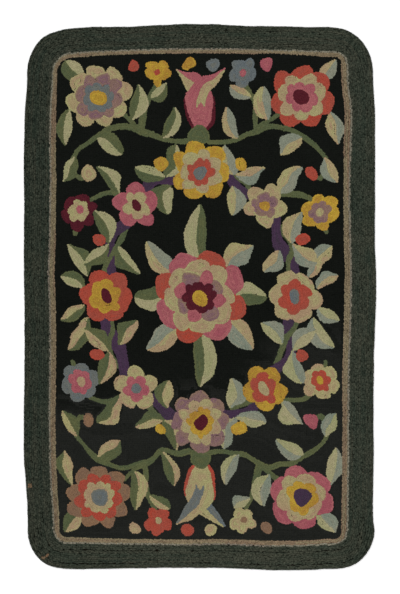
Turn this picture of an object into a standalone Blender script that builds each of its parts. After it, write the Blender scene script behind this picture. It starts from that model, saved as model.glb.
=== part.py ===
"""A hooked rug lying flat: one cloth with a round-cornered border, a stripe inside it and a plain field.

Units are metres, with +Z up. The origin is the middle of the underside, +Y points to the top end of the
design and +X to its right. The rug is one piece: wool loops pulled through a woven ground cloth, so it is
one solid with the hooked rows of border and stripe raised on it as ribs.
"""

import math
from collections import namedtuple

import bmesh
import bpy
from mathutils import Vector

# Overall size of the rug.
RUG_WIDTH = 0.920
RUG_LENGTH = 1.427

# The stripe that frames the field, and the hooked rows across it and across the border.
STRIPE_OUTER_WIDTH = 0.790
STRIPE_OUTER_LENGTH = 1.298
STRIPE_BREADTH = 0.018
BORDER_ROWS = 13
STRIPE_ROWS = 4

# Heights above the floor.
PILE_TOP = 0.0080
ROW_VALLEY = 0.0072
SEAM_VALLEY = 0.0068
FIELD_TOP = 0.0078

# The rolled outer edge: how far in and how high each line of it runs, from the floor up.
EdgeLine = namedtuple("EdgeLine", "inset height")
ROLLED_EDGE = [
    EdgeLine(inset=0.0016, height=0.0000),
    EdgeLine(inset=0.0004, height=0.0012),
    EdgeLine(inset=0.0000, height=0.0036),
    EdgeLine(inset=0.0008, height=0.0064),
]

# How far inside the stripe the field's flat top starts.
FIELD_RIM = 0.0025

# How finely an outline is divided, how much more finely near the corners than in mid-run, and the angle
# from which an edge shades sharp.
CORNER_STEPS = 9
SIDE_STEPS = 26
END_STEPS = 13
CORNER_CROWDING = 0.085
SHARP_ANGLE = math.radians(50)

MILLIMETRE = 0.001

# Corner radii, from the left of the top end round to the left of the bottom end.
Corner = namedtuple("Corner", "across along edge_radius stripe_radius field_radius")
CORNERS = [
    Corner(across=-1, along=1, edge_radius=0.116, stripe_radius=0.056, field_radius=0.038),
    Corner(across=1, along=1, edge_radius=0.113, stripe_radius=0.038, field_radius=0.016),
    Corner(across=1, along=-1, edge_radius=0.098, stripe_radius=0.039, field_radius=0.018),
    Corner(across=-1, along=-1, edge_radius=0.095, stripe_radius=0.038, field_radius=0.019),
]

# How far the handmade lines wander inwards from a true rectangle, in millimetres: the rug's edge, the
# stripe's outer line and its inner line, where the field starts.
Drift = namedtuple("Drift", "edge stripe field")

# Along each side, at these places from the middle of the rug.
SideDrift = namedtuple("SideDrift", "along left right")
SIDE_DRIFT = [
    SideDrift(along=-0.616, left=Drift(10.5, 11.0, 10.0), right=Drift(4.5, 7.5, 8.5)),
    SideDrift(along=-0.592, left=Drift(10.5, 10.5, 9.5), right=Drift(8.0, 7.5, 8.5)),
    SideDrift(along=-0.545, left=Drift(10.0, 7.5, 7.5), right=Drift(9.0, 7.5, 8.0)),
    SideDrift(along=-0.510, left=Drift(7.0, 4.5, 5.0), right=Drift(8.0, 7.0, 7.0)),
    SideDrift(along=-0.420, left=Drift(0.0, 1.5, 1.0), right=Drift(6.5, 5.0, 6.0)),
    SideDrift(along=-0.320, left=Drift(0.0, 0.0, -0.5), right=Drift(7.5, 5.0, 5.5)),
    SideDrift(along=-0.190, left=Drift(2.0, 1.5, 1.0), right=Drift(6.5, 5.5, 6.5)),
    SideDrift(along=-0.110, left=Drift(2.0, 1.5, 1.5), right=Drift(5.5, 1.0, 3.5)),
    SideDrift(along=-0.040, left=Drift(2.0, 1.5, 1.5), right=Drift(0.0, -1.0, 1.0)),
    SideDrift(along=0.070, left=Drift(0.5, -4.0, -3.0), right=Drift(0.5, -2.0, -0.5)),
    SideDrift(along=0.150, left=Drift(0.0, 0.5, 0.5), right=Drift(4.0, 0.0, 2.0)),
    SideDrift(along=0.230, left=Drift(1.5, 1.0, 0.5), right=Drift(3.5, 2.0, 3.0)),
    SideDrift(along=0.310, left=Drift(0.5, 3.0, 1.5), right=Drift(3.0, 3.0, 1.5)),
    SideDrift(along=0.380, left=Drift(0.0, 1.0, 0.0), right=Drift(3.0, -0.5, 3.5)),
    SideDrift(along=0.480, left=Drift(2.5, 2.0, 1.5), right=Drift(3.0, -4.0, -0.5)),
    SideDrift(along=0.580, left=Drift(9.0, 8.0, 3.5), right=Drift(9.0, 7.5, 9.0)),
]

# Across each end.
EndDrift = namedtuple("EndDrift", "across top bottom")
END_DRIFT = [
    EndDrift(across=-0.42, top=Drift(9.0, 11.5, 7.0), bottom=Drift(3.5, 5.0, 4.0)),
    EndDrift(across=-0.38, top=Drift(13.5, 11.5, 7.0), bottom=Drift(4.5, 5.0, 4.0)),
    EndDrift(across=-0.34, top=Drift(11.5, 11.5, 7.0), bottom=Drift(3.0, 5.0, 4.0)),
    EndDrift(across=-0.29, top=Drift(8.0, 7.0, 2.0), bottom=Drift(3.0, 4.5, 1.5)),
    EndDrift(across=-0.20, top=Drift(8.0, 4.0, -2.5), bottom=Drift(4.5, 2.5, -1.0)),
    EndDrift(across=-0.12, top=Drift(4.0, 1.0, -4.0), bottom=Drift(6.0, 2.0, -1.5)),
    EndDrift(across=-0.04, top=Drift(0.0, 0.0, -5.0), bottom=Drift(6.5, 0.5, -3.0)),
    EndDrift(across=0.05, top=Drift(1.5, 0.0, -5.0), bottom=Drift(6.0, 2.5, -1.0)),
    EndDrift(across=0.13, top=Drift(5.5, 1.5, -3.5), bottom=Drift(3.0, 0.0, -3.5)),
    EndDrift(across=0.21, top=Drift(7.0, 4.0, -5.0), bottom=Drift(0.0, -3.0, -6.0)),
    EndDrift(across=0.30, top=Drift(8.5, 6.0, 1.5), bottom=Drift(0.5, -1.0, -4.5)),
    EndDrift(across=0.34, top=Drift(8.5, 7.0, 5.0), bottom=Drift(4.0, 2.5, -0.5)),
]

# The wool's colour and finish, as a whole.
BORDER_GREEN = (0.030, 0.036, 0.026, 1.0)
WOOL_ROUGHNESS = 0.95


def drift_at(places, drifts, place):
    """The wandering of one line at a place along it, eased from one row of its table to the next."""
    if place <= places[0]:
        return drifts[0] * MILLIMETRE
    for k in range(len(places) - 1):
        if place <= places[k + 1]:
            share = (place - places[k]) / (places[k + 1] - places[k])
            eased = share * share * (3 - 2 * share)
            return (drifts[k] + (drifts[k + 1] - drifts[k]) * eased) * MILLIMETRE
    return drifts[-1] * MILLIMETRE


def true_outline(half_width, half_length, radii):
    """Points round a true rectangle with round corners, clockwise from the left end of the top."""
    centres = [
        Vector((corner.across * (half_width - radius), corner.along * (half_length - radius)))
        for corner, radius in zip(CORNERS, radii)
    ]
    points = []
    for k, radius in enumerate(radii):
        first_angle = math.pi - k * math.pi / 2
        for step in range(CORNER_STEPS + 1):
            angle = first_angle - step / CORNER_STEPS * math.pi / 2
            points.append(centres[k] + radius * Vector((math.cos(angle), math.sin(angle))))
        following = (k + 1) % len(radii)
        next_start = centres[following] + radii[following] * Vector(
            (math.cos(first_angle - math.pi / 2), math.sin(first_angle - math.pi / 2))
        )
        run_steps = END_STEPS if k % 2 == 0 else SIDE_STEPS
        run_start = points[-1]
        for step in range(1, run_steps):
            share = step / run_steps
            points.append(run_start.lerp(next_start, share - CORNER_CROWDING * math.sin(2 * math.pi * share)))
    return points


def handmade(points, half_width, half_length, line):
    """The true outline drawn in where the hand-drawn line, a column of the drift tables, wanders."""
    places_along = [row.along for row in SIDE_DRIFT]
    places_across = [row.across for row in END_DRIFT]
    drawn = []
    for point in points:
        side = "left" if point.x < 0 else "right"
        end = "top" if point.y > 0 else "bottom"
        side_drifts = [getattr(getattr(row, side), line) for row in SIDE_DRIFT]
        end_drifts = [getattr(getattr(row, end), line) for row in END_DRIFT]
        in_across = drift_at(places_along, side_drifts, point.y)
        in_along = drift_at(places_across, end_drifts, point.x)
        drawn.append(
            Vector((point.x * (1 - in_across / half_width), point.y * (1 - in_along / half_length)))
        )
    return drawn


def rug_outlines():
    """The rug's edge, the stripe's outer line and its inner line, point for point."""
    edge_half = (RUG_WIDTH / 2, RUG_LENGTH / 2)
    stripe_half = (STRIPE_OUTER_WIDTH / 2, STRIPE_OUTER_LENGTH / 2)
    field_half = (stripe_half[0] - STRIPE_BREADTH, stripe_half[1] - STRIPE_BREADTH)
    return [
        handmade(true_outline(*half, [getattr(corner, f"{line}_radius") for corner in CORNERS]), *half, line)
        for line, half in (("edge", edge_half), ("stripe", stripe_half), ("field", field_half))
    ]


def between(outer, inner, share):
    """The line that share of the way from the outer outline to the inner one."""
    return [a.lerp(b, share) for a, b in zip(outer, inner)]


def drawn_in(outline, inset):
    """The clockwise outline moved inwards by an inset, square to itself at each point."""
    moved = []
    count = len(outline)
    for k, point in enumerate(outline):
        tangent = outline[(k + 1) % count] - outline[k - 1]
        inward = Vector((tangent.y, -tangent.x)).normalized()
        moved.append(point + inward * inset)
    return moved


def ribs(outer, inner, rows):
    """Rings for hooked rows from the outer line to the inner one: a crest for each and a valley between."""
    rings = []
    for row in range(rows):
        rings.append((between(outer, inner, (row + 0.5) / rows), PILE_TOP))
        if row < rows - 1:
            rings.append((between(outer, inner, (row + 1) / rows), ROW_VALLEY))
    return rings


def rug_rings():
    """Every ring of the rug from the underside, round the rolled edge and over the top to the field."""
    edge, stripe, field = rug_outlines()
    rings = [(drawn_in(edge, line.inset), line.height) for line in ROLLED_EDGE]
    rings += ribs(edge, stripe, BORDER_ROWS)
    rings.append((stripe, SEAM_VALLEY))
    rings += ribs(stripe, field, STRIPE_ROWS)
    rings.append((field, SEAM_VALLEY))
    rings.append((drawn_in(field, FIELD_RIM), FIELD_TOP))
    return rings


def lofted_mesh(name, rings):
    """A closed mesh through rings that have the same number of points, capped at both ends."""
    mesh = bpy.data.meshes.new(name)
    loft = bmesh.new()
    lines = [
        [loft.verts.new((point.x, point.y, height)) for point in outline]
        for outline, height in rings
    ]
    count = len(lines[0])
    for lower, upper in zip(lines, lines[1:]):
        for k in range(count):
            following = (k + 1) % count
            loft.faces.new((lower[k], upper[k], upper[following], lower[following]))
    loft.faces.new(lines[0])
    loft.faces.new(lines[-1])
    bmesh.ops.recalc_face_normals(loft, faces=loft.faces)
    loft.to_mesh(mesh)
    loft.free()
    return mesh


def wool_material():
    """Dull wool in the border's colour."""
    material = bpy.data.materials.new("wool")
    material.use_nodes = True
    shader = material.node_tree.nodes["Principled BSDF"]
    shader.inputs["Base Color"].default_value = BORDER_GREEN
    shader.inputs["Roughness"].default_value = WOOL_ROUGHNESS
    shader.inputs["Metallic"].default_value = 0.0
    return material


def build_rug(collection):
    """The rug as one solid."""
    mesh = lofted_mesh("rug", rug_rings())
    mesh.materials.append(wool_material())
    mesh.shade_smooth()
    mesh.set_sharp_from_angle(angle=SHARP_ANGLE)
    collection.objects.link(bpy.data.objects.new("rug", mesh))


def main():
    """Clears the scene and builds the rug in its own collection."""
    for obj in list(bpy.data.objects):
        bpy.data.objects.remove(obj)
    collection = bpy.data.collections.new("hooked_rug")
    bpy.context.scene.collection.children.link(collection)
    build_rug(collection)


main()
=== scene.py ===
"""Looks of the hooked rug: every loop of its wool, the ground cloth that holds them, and its studio.

The rug lies on the floor with its length along Y. The lines of its edge, stripe and field are read from the
frame's solid. The field's pattern is drawn on a chart of one square millimetre a cell, and then hooked over
the chart row by row, as a hand does it.
"""

import sys
import logging
import math
from collections.abc import Callable, Iterator
from dataclasses import dataclass, field
from enum import Enum
from functools import cache

import bmesh
import bpy
import numpy as np
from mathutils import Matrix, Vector


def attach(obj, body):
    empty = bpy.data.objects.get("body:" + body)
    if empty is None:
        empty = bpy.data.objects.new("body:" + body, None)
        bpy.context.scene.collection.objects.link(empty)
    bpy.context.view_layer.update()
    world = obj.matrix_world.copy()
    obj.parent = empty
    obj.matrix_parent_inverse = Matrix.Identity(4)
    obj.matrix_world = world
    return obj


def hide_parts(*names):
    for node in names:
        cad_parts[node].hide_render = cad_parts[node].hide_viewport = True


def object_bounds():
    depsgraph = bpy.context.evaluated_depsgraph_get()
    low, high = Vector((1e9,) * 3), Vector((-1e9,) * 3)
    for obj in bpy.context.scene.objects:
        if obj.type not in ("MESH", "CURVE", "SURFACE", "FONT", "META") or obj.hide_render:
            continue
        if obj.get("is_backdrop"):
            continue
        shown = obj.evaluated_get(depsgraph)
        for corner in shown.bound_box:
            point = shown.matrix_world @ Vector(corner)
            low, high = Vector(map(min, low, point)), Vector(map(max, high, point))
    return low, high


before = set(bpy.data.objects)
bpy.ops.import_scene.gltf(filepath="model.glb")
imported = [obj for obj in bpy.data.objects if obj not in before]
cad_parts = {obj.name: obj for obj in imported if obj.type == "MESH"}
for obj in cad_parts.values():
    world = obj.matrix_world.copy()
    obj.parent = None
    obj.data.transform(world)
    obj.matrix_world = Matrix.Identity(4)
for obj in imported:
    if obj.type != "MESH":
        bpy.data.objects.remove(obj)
CAD_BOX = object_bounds()

log = logging.getLogger("hooked_rug")

Colour = tuple[float, float, float]
Place = tuple[float, float]

MILLIMETRE = 0.001
FULL_TURN = 2 * math.pi

# Heights of the solid at which its lines are found, and how near a height counts as found.
EDGE_HEIGHT = 0.0036
SEAM_HEIGHT = 0.0068
FIELD_HEIGHT = 0.0078
HEIGHT_SLACK = 0.00005

# The cloth lies between these heights, and the loops stand on it up to the top of the pile. Below the gap
# height the light between two loops is at its least.
CLOTH_UNDERSIDE = 0.0005
CLOTH_TOP = 0.0017
PILE_TOP = 0.0080
GAP_HEIGHT = 0.0050

# The stitches under the cloth lie between the first height and that much above it.
STITCH_HEIGHT = 0.0002
STITCH_SPREAD = 0.0002

# The hooking's own measures: from row to row, and from loop to loop along a row.
ROW_PITCH = 0.0050
LOOP_PITCH = 0.0052

# How many loops one strip of wool makes, and how wide a gap opens where two rows have parted.
STRIP_LOOPS = 46
PARTING = 0.0010


class Node(Enum):
    """The kinds of node that the finishes and the planting tree are made of."""

    ATTRIBUTE = "ShaderNodeAttribute"
    BUMP = "ShaderNodeBump"
    COORDINATES = "ShaderNodeTexCoord"
    MATHS = "ShaderNodeMath"
    MIX = "ShaderNodeMix"
    NOISE = "ShaderNodeTexNoise"
    SEPARATE = "ShaderNodeSeparateXYZ"
    COMBINE = "ShaderNodeCombineXYZ"
    VECTOR_MATHS = "ShaderNodeVectorMath"
    OBJECT_SHAPE = "GeometryNodeObjectInfo"
    NAMED_VALUE = "GeometryNodeInputNamedAttribute"
    RANDOM = "FunctionNodeRandomValue"
    PLANT = "GeometryNodeInstanceOnPoints"
    REALIZE = "GeometryNodeRealizeInstances"
    SHADE_SMOOTH = "GeometryNodeSetShadeSmooth"
    SET_MATERIAL = "GeometryNodeSetMaterial"
    TREE_INPUT = "NodeGroupInput"
    TREE_OUTPUT = "NodeGroupOutput"


class Signal:
    """One socket's value, which sums and products can be written with."""

    def __init__(self, graph: "Graph", socket: bpy.types.NodeSocket) -> None:
        """Keeps the socket and the graph that it is in."""
        self.graph = graph
        self.socket = socket

    def __add__(self, other: "Value") -> "Signal":
        """This value plus the other."""
        return self.graph.maths("ADD", self, other)

    def __sub__(self, other: "Value") -> "Signal":
        """This value less the other."""
        return self.graph.maths("SUBTRACT", self, other)

    def __rsub__(self, other: "Value") -> "Signal":
        """The other value less this one."""
        return self.graph.maths("SUBTRACT", other, self)

    def __mul__(self, other: "Value") -> "Signal":
        """This value times the other."""
        return self.graph.maths("MULTIPLY", self, other)

    def __truediv__(self, other: "Value") -> "Signal":
        """This value divided by the other."""
        return self.graph.maths("DIVIDE", self, other)

    __radd__ = __add__
    __rmul__ = __mul__

    def clamped(self) -> "Signal":
        """This value, held between nought and one."""
        return self.graph.maths("ADD", self, 0.0, clamp=True)


Value = Signal | float


class Graph:
    """A node tree that nodes are added to and linked in."""

    def __init__(self, tree: bpy.types.NodeTree) -> None:
        """Keeps the tree."""
        self.tree = tree

    def add(
        self,
        kind: Node,
        settings: dict[str, object] | None = None,
        sockets: dict[str | int, object] | None = None,
    ) -> bpy.types.Node:
        """Adds one node, with its settings first and then its sockets.

        Args:
            kind: The kind of node.
            settings: The node's own properties.
            sockets: A value or a Signal for each input, by its name or number.

        Returns:
            The new node.
        """
        node = self.tree.nodes.new(kind.value)
        for name, value in (settings or {}).items():
            setattr(node, name, value)
        for name, value in (sockets or {}).items():
            socket = self._open_socket(node, name)
            if isinstance(value, Signal):
                self.tree.links.new(value.socket, socket)
            else:
                socket.default_value = value
        return node

    @staticmethod
    def _open_socket(node: bpy.types.Node, name: str | int) -> bpy.types.NodeSocket:
        """The input of that number, or the enabled one of that name."""
        if isinstance(name, int):
            return node.inputs[name]
        return next(socket for socket in node.inputs if socket.name == name and socket.enabled)

    def signal(self, node: bpy.types.Node, name: str | int = 0) -> Signal:
        """An output of a node as a Signal."""
        return Signal(self, node.outputs[name])

    def maths(self, operation: str, *values: Value, clamp: bool = False) -> Signal:
        """A Math node on the values."""
        settings = {"operation": operation, "use_clamp": clamp}
        return self.signal(self.add(Node.MATHS, settings, dict(enumerate(values))))

    def mixed(self, share: Value, first: object, second: object) -> Signal:
        """The colour between two colours, at the share towards the second.

        Args:
            share: Nought for the first colour and one for the second.
            first: A Signal, or a colour.
            second: A Signal, or a colour.

        Returns:
            The mixed colour.
        """
        factor, colour_a, colour_b, result = 0, 6, 7, 2
        sockets = {factor: share, colour_a: opaque(first), colour_b: opaque(second)}
        node = self.add(Node.MIX, {"data_type": "RGBA", "clamp_factor": True}, sockets)
        return self.signal(node, result)

    def dimmed(self, colour: Signal, amount: Value) -> Signal:
        """The colour times one number."""
        node = self.add(Node.VECTOR_MATHS, {"operation": "SCALE"}, {"Vector": colour, "Scale": amount})
        return self.signal(node)

    def noise(self, place: Signal, scale: float, detail: float = 2.0) -> Signal:
        """Cloudy noise from nought to one, with so many lumps to the metre."""
        sockets = {"Vector": place, "Scale": scale, "Detail": detail, "Roughness": 0.55}
        return self.signal(self.add(Node.NOISE, {"noise_dimensions": "3D"}, sockets))

    def attribute(self, name: str, output: str = "Fac") -> Signal:
        """A value that the piece's mesh holds under that name."""
        return self.signal(self.add(Node.ATTRIBUTE, {"attribute_name": name}), output)


def opaque(colour: object) -> object:
    """A plain colour with its alpha, and a Signal as it is."""
    return (*colour, 1.0) if isinstance(colour, tuple) else colour


class Finish:
    """A material in the making: its shader, its graph, and the place that its patterns are read at."""

    def __init__(self, name: str, roughness: float) -> None:
        """Starts a dull material.

        Args:
            name: The material's name.
            roughness: The same all over the piece.
        """
        self.material = bpy.data.materials.new(name)
        self.material.use_nodes = True
        self.graph = Graph(self.material.node_tree)
        self.shader = self.material.node_tree.nodes["Principled BSDF"]
        self.set_all_over({"Roughness": roughness, "Specular IOR Level": 0.02})

    def set_all_over(self, values: dict[str, object]) -> None:
        """Sets what is the same all over the piece."""
        for name, value in values.items():
            self.shader.inputs[name].default_value = value

    def place(self) -> Signal:
        """The place on the piece."""
        return self.graph.signal(self.graph.add(Node.COORDINATES), "Object")

    def coloured(self, colour: Signal, height: Signal, strength: float, depth: float) -> bpy.types.Material:
        """Links the colour, and the bumps that the height makes.

        Args:
            colour: The colour at each place.
            height: How high each place stands, from nought to one.
            strength: How plain the bumps are.
            depth: How deep they are, in metres.

        Returns:
            The finished material.
        """
        bump = self.graph.add(Node.BUMP, None, {"Height": height, "Strength": strength, "Distance": depth})
        self.graph.tree.links.new(colour.socket, self.shader.inputs["Base Color"])
        self.graph.tree.links.new(bump.outputs["Normal"], self.shader.inputs["Normal"])
        return self.material


@dataclass(frozen=True)
class WoolFinish:
    """Dull hooked wool. Each strip of it is dyed a little unlike the next, and so is each loop; each loop
    also carries painted light across the rug.
    """

    name: str
    slot: str
    colour: Colour
    second: Colour
    between_strips: float = 0.45
    between_loops: float = 0.036
    loop_hue: float = 0.0
    patches_per_metre: float = 11.0
    patchiness: float = 1.7
    fibres_per_metre: float = 1500.0
    fibre_stretch: float = 0.12
    # How much light the painted shade between loops leaves at their foot, from nought for black to one for
    # none.
    shade_in_gaps: float = 0.88
    nap: float = 0.95

    def material(self) -> bpy.types.Material:
        """Makes the material.

        Returns:
            Wool whose colour wanders from the first dye to the second, with painted shade down between the
            loops.
        """
        wool = Finish(self.name, roughness=0.95)
        wool.set_all_over({"Sheen Weight": 0.04, "Sheen Roughness": 0.6, "Sheen Tint": opaque(self.colour)})
        graph = wool.graph
        place = wool.place()
        strip = graph.attribute("strip")
        # Each loop's own tone, with the painted light across the rug added in.
        loop = graph.attribute("loop")
        patches = graph.noise(place, self.patches_per_metre)
        apart = graph.add(Node.SEPARATE, None, {"Vector": place})
        x, y, height = (graph.signal(apart, axis) for axis in "XYZ")
        fibres = self._fibres(graph, x, y, height)
        share = 0.5 + strip * self.between_strips + loop * self.loop_hue + (patches - 0.5) * self.patchiness
        colour = graph.mixed(share.clamped(), self.colour, self.second)
        # Painted shade: below the gap height the colour darkens down each loop, for the shade between loops.
        up_the_loop = ((height - GAP_HEIGHT) / (PILE_TOP - GAP_HEIGHT)).clamped()
        light = (self.shade_in_gaps + up_the_loop * (1 - self.shade_in_gaps)) * (
            1 + loop * self.between_loops + (fibres - 0.5) * self.nap
        )
        return wool.coloured(graph.dimmed(colour, light), fibres, 0.9, 0.0005)

    def _fibres(self, graph: Graph, x: Signal, y: Signal, height: Signal) -> Signal:
        """The wool's fibres, which run up each loop, along it and down again."""
        turn = graph.attribute("turn")
        cosine, sine = graph.maths("COSINE", turn), graph.maths("SINE", turn)
        run = {
            "X": (x * cosine + y * sine) * self.fibre_stretch,
            "Y": y * cosine - x * sine,
            "Z": height * self.fibre_stretch,
        }
        place = graph.signal(graph.add(Node.COMBINE, None, run))
        return graph.noise(place, self.fibres_per_metre, detail=3.0)


@dataclass(frozen=True)
class StitchFinish:
    """The flat wool stitches on the underside, each in its loop's own colour."""

    name: str = "wool_underside"
    fibres_per_metre: float = 900.0

    def material(self) -> bpy.types.Material:
        """Makes the material, which reads each stitch's colour from the mesh."""
        wool = Finish(self.name, roughness=0.95)
        fibres = wool.graph.noise(wool.place(), self.fibres_per_metre, detail=3.0)
        colour = wool.graph.dimmed(wool.graph.attribute("dye", "Color"), 0.75 + fibres * 0.5)
        return wool.coloured(colour, fibres, 0.5, 0.0003)


@dataclass(frozen=True)
class BurlapFinish:
    """Plain woven jute: threads over and under one another, with slubs, painted shade in the gaps between
    threads, and its top side painted dark for the shade under the pile.
    """

    name: str = "burlap"
    slot: str = "ground_cloth"
    thread: Colour = (0.34, 0.25, 0.15)
    # The colour of the painted shade in the gaps between threads.
    gap: Colour = (0.075, 0.05, 0.03)
    threads_per_metre: float = 480.0
    shade_under_pile: float = 0.95

    def material(self) -> bpy.types.Material:
        """Makes the material.

        Returns:
            Jute with its weave in colour and bump.
        """
        jute = Finish(self.name, roughness=0.9)
        graph = jute.graph
        place = jute.place()
        slubs = graph.noise(place, 60.0, detail=4.0)
        apart = graph.add(Node.SEPARATE, None, {"Vector": place})
        warp = self._threads(graph, graph.signal(apart, "X") + slubs * 0.0016)
        weft = self._threads(graph, graph.signal(apart, "Y") + slubs * 0.0016)
        weave = graph.maths("MAXIMUM", warp, weft)
        # Painted shade: the gaps between threads take the dark colour.
        colour = graph.mixed(weave, self.gap, self.thread)
        # Painted shade: the cloth's top side is darkened for the shade under the pile.
        shaded_top = ((graph.signal(apart, "Z") - CLOTH_UNDERSIDE) / (CLOTH_TOP - CLOTH_UNDERSIDE)).clamped()
        lit = graph.dimmed(colour, (0.7 + slubs * 0.6) * (1 - shaded_top * self.shade_under_pile))
        return jute.coloured(lit, weave, 0.6, 0.0004)

    def _threads(self, graph: Graph, along: Signal) -> Signal:
        """Rounded threads across one direction, one on a thread's middle and nought in the gaps."""
        wave = graph.maths("SINE", along * (self.threads_per_metre * FULL_TURN))
        return (0.5 + wave * 0.7).clamped()


@dataclass(frozen=True)
class FloorFinish:
    """The studio's plain pale floor."""

    name: str = "studio_floor"
    colour: Colour = (0.93, 0.93, 0.93)

    def material(self) -> bpy.types.Material:
        """Makes the material."""
        paint = Finish(self.name, roughness=0.8)
        paint.set_all_over({"Base Color": opaque(self.colour)})
        return paint.material


class Dye(Enum):
    """The wools that the rug is hooked in. The field's chart holds their numbers."""

    BLACK = 1
    FADED = 2
    CREAM = 3
    GOLD = 4
    CORAL = 5
    PINK = 6
    MAROON = 7
    MAUVE = 8
    PURPLE = 9
    BLUE = 10
    SAGE = 11
    CELERY = 12
    OLIVE = 13
    BROWN = 14
    BORDER = 15
    STRIPE = 16
    WORN = 17
    STRIPE_EDGE = 18


(
    BLACK, FADED, CREAM, GOLD, CORAL, PINK, MAROON, MAUVE, PURPLE, BLUE, SAGE, CELERY, OLIVE, BROWN, BORDER,
    STRIPE, WORN, STRIPE_EDGE,
) = Dye

# The ground's two ends: as it was dyed, and faded. Its loops run from one to the other.
GROUND: tuple[Colour, Colour] = ((0.0037, 0.0044, 0.0035), (0.0128, 0.0134, 0.0117))

# Each wool's two dyes, between which its strips wander, and how uneven it is.
WOOLS: dict[Dye, WoolFinish] = {
    BLACK: WoolFinish("wool_black", "wool_ground_black", *GROUND, 0.5, 0.04, 0.0, 11.0, 0.12, nap=0.60),
    FADED: WoolFinish("wool_faded", "wool_ground_faded", *GROUND, 0.5, 0.04, 0.0, 11.0, 0.14, nap=0.60),
    CREAM: WoolFinish("wool_cream", "wool_cream", (0.253, 0.234, 0.109), (0.252, 0.174, 0.104)),
    GOLD: WoolFinish(
        "wool_gold", "wool_gold", (0.345, 0.226, 0.029), (0.245, 0.132, 0.024), 0.35, 0.08, 0.22
    ),
    CORAL: WoolFinish("wool_coral", "wool_coral", (0.268, 0.044, 0.027), (0.223, 0.050, 0.034)),
    PINK: WoolFinish("wool_pink", "wool_pink", (0.262, 0.082, 0.087), (0.223, 0.058, 0.072)),
    MAROON: WoolFinish("wool_maroon", "wool_maroon", (0.064, 0.0100, 0.0150), (0.048, 0.0082, 0.0132)),
    MAUVE: WoolFinish("wool_mauve", "wool_mauve", (0.172, 0.110, 0.078), (0.141, 0.077, 0.091)),
    PURPLE: WoolFinish("wool_purple", "wool_purple", (0.045, 0.0235, 0.048), (0.035, 0.0230, 0.038)),
    BLUE: WoolFinish("wool_blue", "wool_blue", (0.085, 0.100, 0.105), (0.102, 0.106, 0.092)),
    SAGE: WoolFinish("wool_sage", "wool_sage", (0.177, 0.178, 0.131), (0.142, 0.162, 0.124)),
    CELERY: WoolFinish("wool_celery", "wool_sage", (0.250, 0.224, 0.128), (0.214, 0.213, 0.106)),
    OLIVE: WoolFinish("wool_olive", "wool_green", (0.076, 0.083, 0.036), (0.058, 0.072, 0.0345)),
    BROWN: WoolFinish("wool_brown", "wool_brown", (0.166, 0.096, 0.054), (0.135, 0.082, 0.053)),
    BORDER: WoolFinish(
        "wool_border", "wool_border", (0.0212, 0.0288, 0.0209), (0.0350, 0.0372, 0.0264),
        0.3, 0.17, 0.10, 16.0, 1.2, shade_in_gaps=0.40,
    ),
    STRIPE: WoolFinish(
        "wool_stripe", "wool_stripe", (0.153, 0.126, 0.075), (0.143, 0.100, 0.064),
        0.5, 0.13, 0.0, 14.0, 1.5, shade_in_gaps=0.70,
    ),
    STRIPE_EDGE: WoolFinish(
        "wool_stripe_edge", "wool_stripe", (0.143, 0.134, 0.100), (0.134, 0.115, 0.090),
        0.5, 0.13, 0.0, 14.0, 1.2, shade_in_gaps=0.70,
    ),
    WORN: WoolFinish("wool_worn", "wool_brown", (0.130, 0.078, 0.045), (0.105, 0.076, 0.046)),
}


@dataclass(frozen=True)
class Line:
    """A closed line round the rug, seen from above, as how far out it lies in each bearing."""

    bearings: np.ndarray
    reaches: np.ndarray

    @classmethod
    def through(cls, corners: np.ndarray, fineness: int = 24) -> "Line":
        """A line through points in any order.

        Args:
            corners: The points, one a row.
            fineness: How many steps each straight run is divided into.

        Returns:
            The line, with points close enough to read it in any bearing.
        """
        ordered = corners[np.argsort(np.arctan2(corners[:, 1], corners[:, 0]))]
        runs = np.roll(ordered, -1, axis=0) - ordered
        steps = np.linspace(0, 1, fineness, endpoint=False)
        points = (ordered[:, None] + runs[:, None] * steps[None, :, None]).reshape(-1, 2)
        bearings = np.arctan2(points[:, 1], points[:, 0])
        order = np.argsort(bearings)
        return cls(bearings[order], np.hypot(points[:, 0], points[:, 1])[order])

    def reach(self, bearings: np.ndarray) -> np.ndarray:
        """How far out the line lies in these bearings."""
        return np.interp(bearings, self.bearings, self.reaches, period=FULL_TURN)

    def towards(self, inner: "Line", share: float) -> "Line":
        """The line that share of the way from this one to the inner one."""
        return Line(self.bearings, (1 - share) * self.reaches + share * inner.reach(self.bearings))

    def points(self, count: int = 4000) -> np.ndarray:
        """That many points round the line, evenly by bearing."""
        bearings = np.linspace(-math.pi, math.pi, count, endpoint=False)
        reaches = self.reach(bearings)
        return np.column_stack([np.cos(bearings), np.sin(bearings)]) * reaches[:, None]

    def stepped(self, pitch: float, start: float) -> tuple[np.ndarray, np.ndarray, float]:
        """Even steps round the line.

        Args:
            pitch: The wished distance from step to step.
            start: How far round the first step is, in steps.

        Returns:
            The places, the direction of travel at each in radians, and the true distance between them.
        """
        points = self.points()
        closed = np.vstack([points, points[:1]])
        lengths = np.hypot(*np.diff(closed, axis=0).T)
        travelled = np.concatenate([[0.0], np.cumsum(lengths)])
        count = round(travelled[-1] / pitch)
        wanted = (np.arange(count) + start) / count * travelled[-1] % travelled[-1]
        places = np.column_stack([np.interp(wanted, travelled, closed[:, k]) for k in (0, 1)])
        ahead = (wanted + pitch) % travelled[-1]
        forward = np.column_stack([np.interp(ahead, travelled, closed[:, k]) for k in (0, 1)]) - places
        return places, np.arctan2(forward[:, 1], forward[:, 0]), travelled[-1] / count

    def area(self) -> float:
        """The area inside the line."""
        x, y = self.points().T
        return float(abs(np.dot(x, np.roll(y, -1)) - np.dot(y, np.roll(x, -1))) / 2)


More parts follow.
